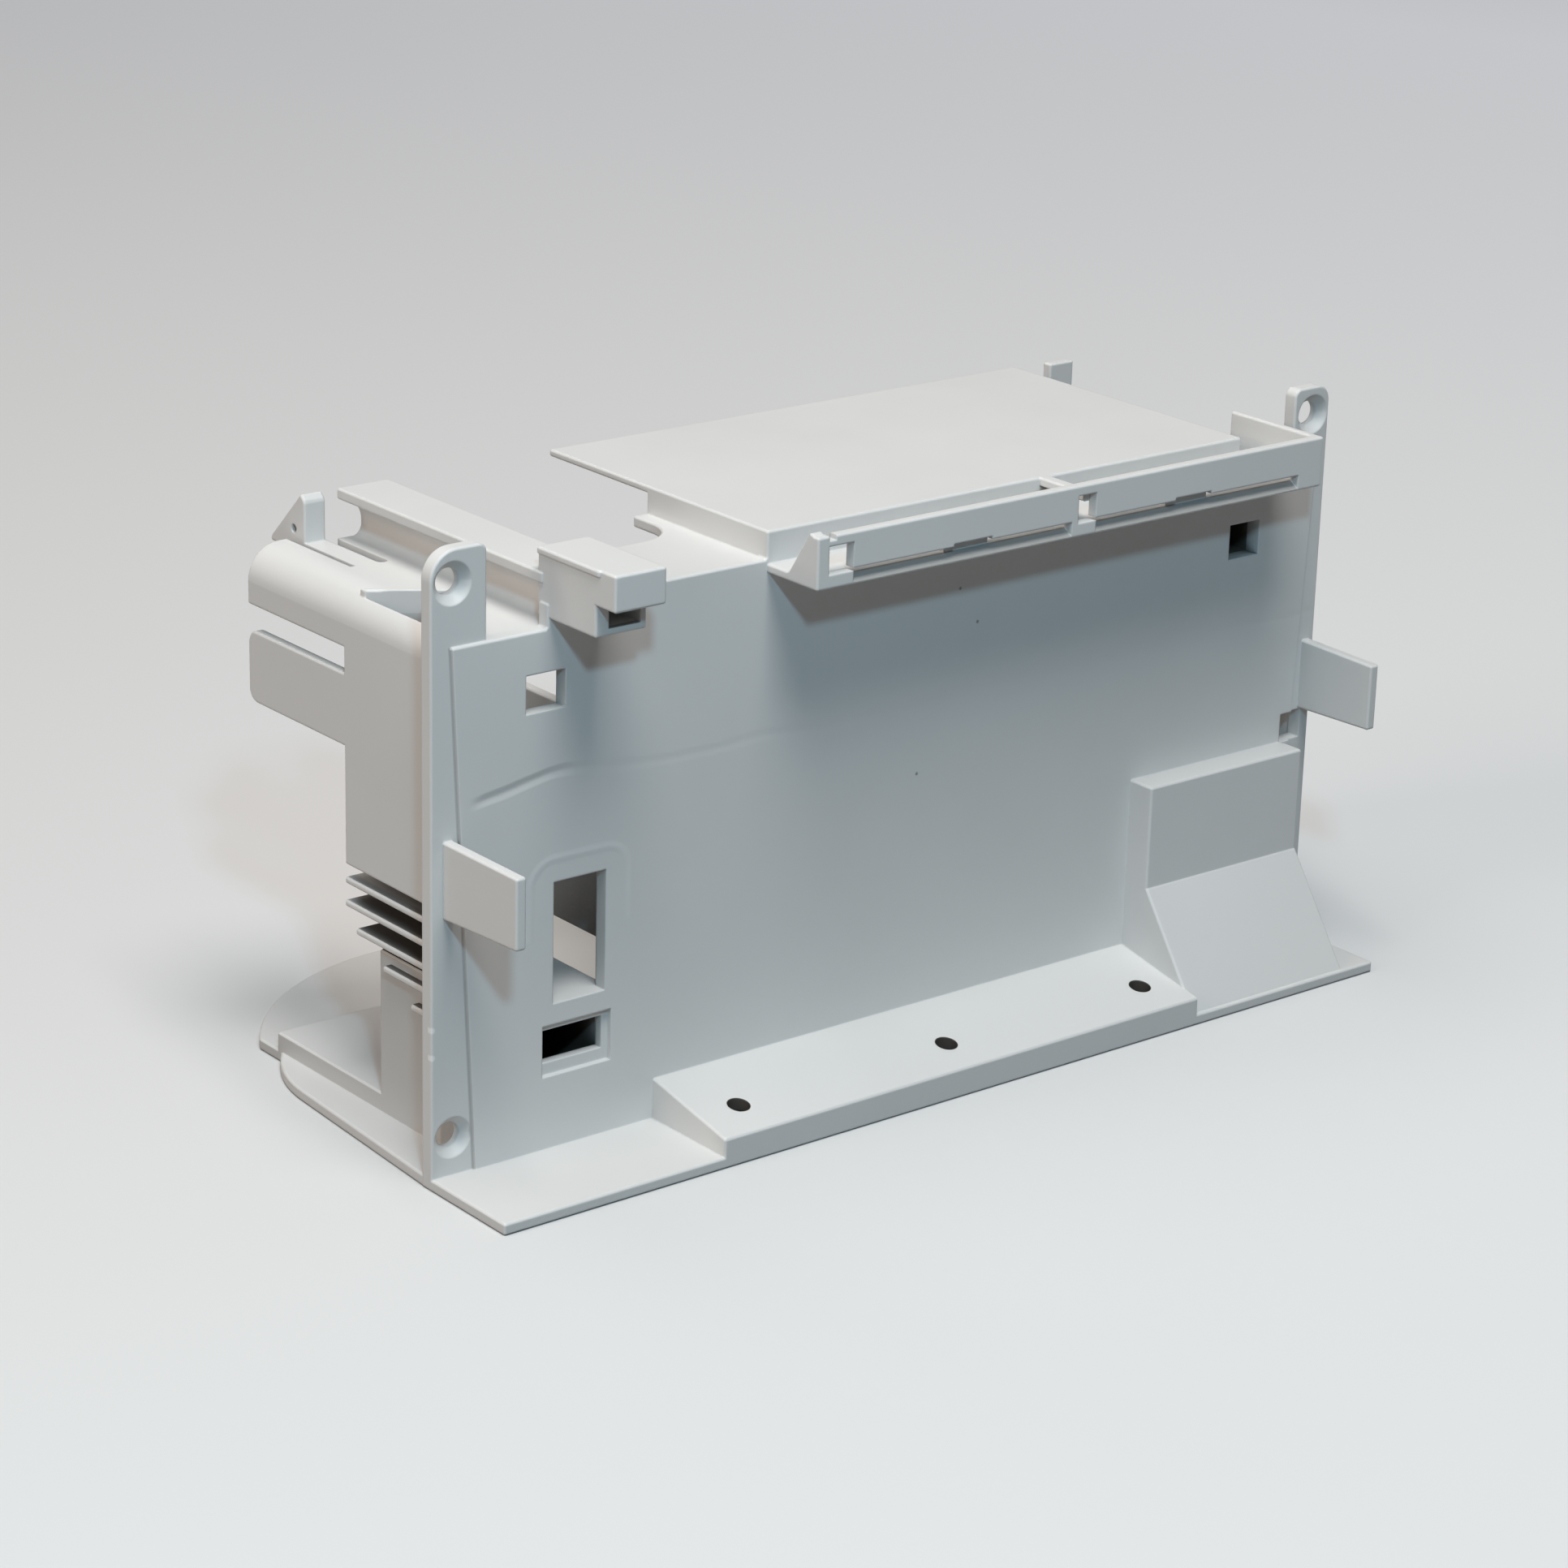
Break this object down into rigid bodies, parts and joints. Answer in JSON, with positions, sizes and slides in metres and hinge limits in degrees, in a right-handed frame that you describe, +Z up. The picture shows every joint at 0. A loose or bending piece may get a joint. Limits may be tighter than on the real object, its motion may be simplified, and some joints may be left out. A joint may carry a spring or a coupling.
{
  "type": "moulded plastic housing",
  "caption": "Open-backed moulded housing with a hooded left end, louvre fins, screw lugs, a raised deck, a ledge rail, small windows and a flat flanged base.",
  "frame": {"origin": "under the middle of the base plate, on its underside", "axes": "+X along the base to the right end, +Y from the front wall to the open back, +Z up"},
  "size_m": [0.2, 0.112, 0.1103],
  "materials": {
    "plastic": "satin"
  },
  "bodies": {
    "root": {"housing": "plastic"}
  },
  "joints": []
}
